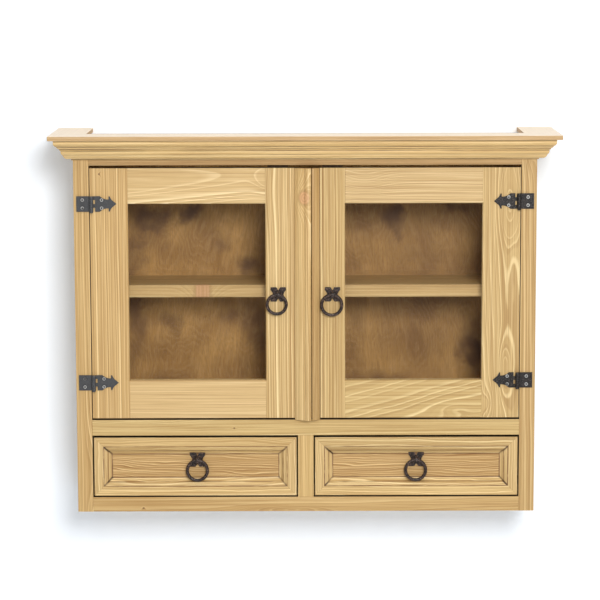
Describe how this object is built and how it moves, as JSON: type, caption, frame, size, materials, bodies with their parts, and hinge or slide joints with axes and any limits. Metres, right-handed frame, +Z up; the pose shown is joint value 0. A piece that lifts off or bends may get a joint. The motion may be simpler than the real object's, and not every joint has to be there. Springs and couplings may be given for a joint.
{
  "type": "glazed wall cabinet with drawers",
  "caption": "Shallow pine wall cabinet with a wide stepped cornice, glazed double doors on arrowhead hinges, moulded drawers below and iron ring pulls.",
  "frame": {"origin": "middle of the bottom of the whole cabinet, over the cornice's width and depth", "axes": "+X to the right seen from the front, +Y towards the wall, +Z up"},
  "size_m": [1, 0.236, 0.753],
  "materials": {
    "pine": "satin waxed",
    "ply": "satin stained",
    "glass": "clear",
    "iron": "matt black",
    "screw_steel": "worn black"
  },
  "bodies": {
    "carcass": {"side_panel_left": "pine", "side_panel_right": "pine", "top_panel": "pine", "cupboard_floor": "pine", "base_panel": "pine", "drawer_divider": "pine", "shelf": "pine", "back_panel": "ply", "hanging_rail": "pine", "frame_stile_left": "pine", "frame_stile_right": "pine", "frame_header_rail": "pine", "frame_middle_rail": "pine", "frame_bottom_rail": "pine", "frame_muntin": "pine", "cornice_board_front": "pine", "cornice_board_left": "pine", "cornice_board_right": "pine", "cornice_moulding_front": "pine", "cornice_moulding_left": "pine", "cornice_moulding_right": "pine", "drawer_guides": "pine", "door_stop_blocks": "pine", "hinge_leaves_frame": "iron", "hinge_pins": "iron", "hinge_screws_frame": "screw_steel"},
    "door_left": {"door_left_hinge_stile": "pine", "door_left_lock_stile": "pine", "door_left_top_rail": "pine", "door_left_bottom_rail": "pine", "door_left_glass": "glass", "door_left_glazing_beads": "pine", "door_left_meeting_moulding": "pine", "door_left_hinge_leaves": "iron", "door_left_hinge_screws": "screw_steel", "door_left_ring_plate": "iron"},
    "door_right": {"door_right_hinge_stile": "pine", "door_right_lock_stile": "pine", "door_right_top_rail": "pine", "door_right_bottom_rail": "pine", "door_right_glass": "glass", "door_right_glazing_beads": "pine", "door_right_meeting_moulding": "pine", "door_right_hinge_leaves": "iron", "door_right_hinge_screws": "screw_steel", "door_right_ring_plate": "iron"},
    "drawer_left": {"drawer_left_front_panel": "pine", "drawer_left_front_frame": "pine", "drawer_left_box": "pine", "drawer_left_bottom": "ply", "drawer_left_ring_plate": "iron"},
    "drawer_right": {"drawer_right_front_panel": "pine", "drawer_right_front_frame": "pine", "drawer_right_box": "pine", "drawer_right_bottom": "ply", "drawer_right_ring_plate": "iron"},
    "door_left_pull_ring": {"door_left_ring": "iron"},
    "door_right_pull_ring": {"door_right_ring": "iron"},
    "drawer_left_pull_ring": {"drawer_left_ring": "iron"},
    "drawer_right_pull_ring": {"drawer_right_ring": "iron"}
  },
  "joints": [
    {"name": "door_left_hinge", "type": "hinge", "parent": "carcass", "child": "door_left", "pos_m": [-0.4194, -0.077, 0.4392], "axis": [0, 0, -1], "range_deg": [0, 165]},
    {"name": "door_right_hinge", "type": "hinge", "parent": "carcass", "child": "door_right", "pos_m": [0.4194, -0.077, 0.443], "axis": [0, 0, 1], "range_deg": [0, 165]},
    {"name": "drawer_left_slide", "type": "slide", "parent": "carcass", "child": "drawer_left", "axis": [0, -1, 0], "range_m": [0, 0.12]},
    {"name": "drawer_right_slide", "type": "slide", "parent": "carcass", "child": "drawer_right", "axis": [0, -1, 0], "range_m": [0, 0.12]},
    {"name": "door_left_ring_swing", "type": "hinge", "parent": "door_left", "child": "door_left_pull_ring", "pos_m": [-0.0534, -0.0817, 0.4374], "axis": [-1, 0, 0], "range_deg": [-6, 170]},
    {"name": "door_right_ring_swing", "type": "hinge", "parent": "door_right", "child": "door_right_pull_ring", "pos_m": [0.0534, -0.0817, 0.4374], "axis": [-1, 0, 0], "range_deg": [-6, 170]},
    {"name": "drawer_left_ring_swing", "type": "hinge", "parent": "drawer_left", "child": "drawer_left_pull_ring", "pos_m": [-0.216, -0.0717, 0.1036], "axis": [-1, 0, 0], "range_deg": [-1, 170]},
    {"name": "drawer_right_ring_swing", "type": "hinge", "parent": "drawer_right", "child": "drawer_right_pull_ring", "pos_m": [0.2202, -0.0717, 0.1036], "axis": [-1, 0, 0], "range_deg": [-1, 170]}
  ]
}
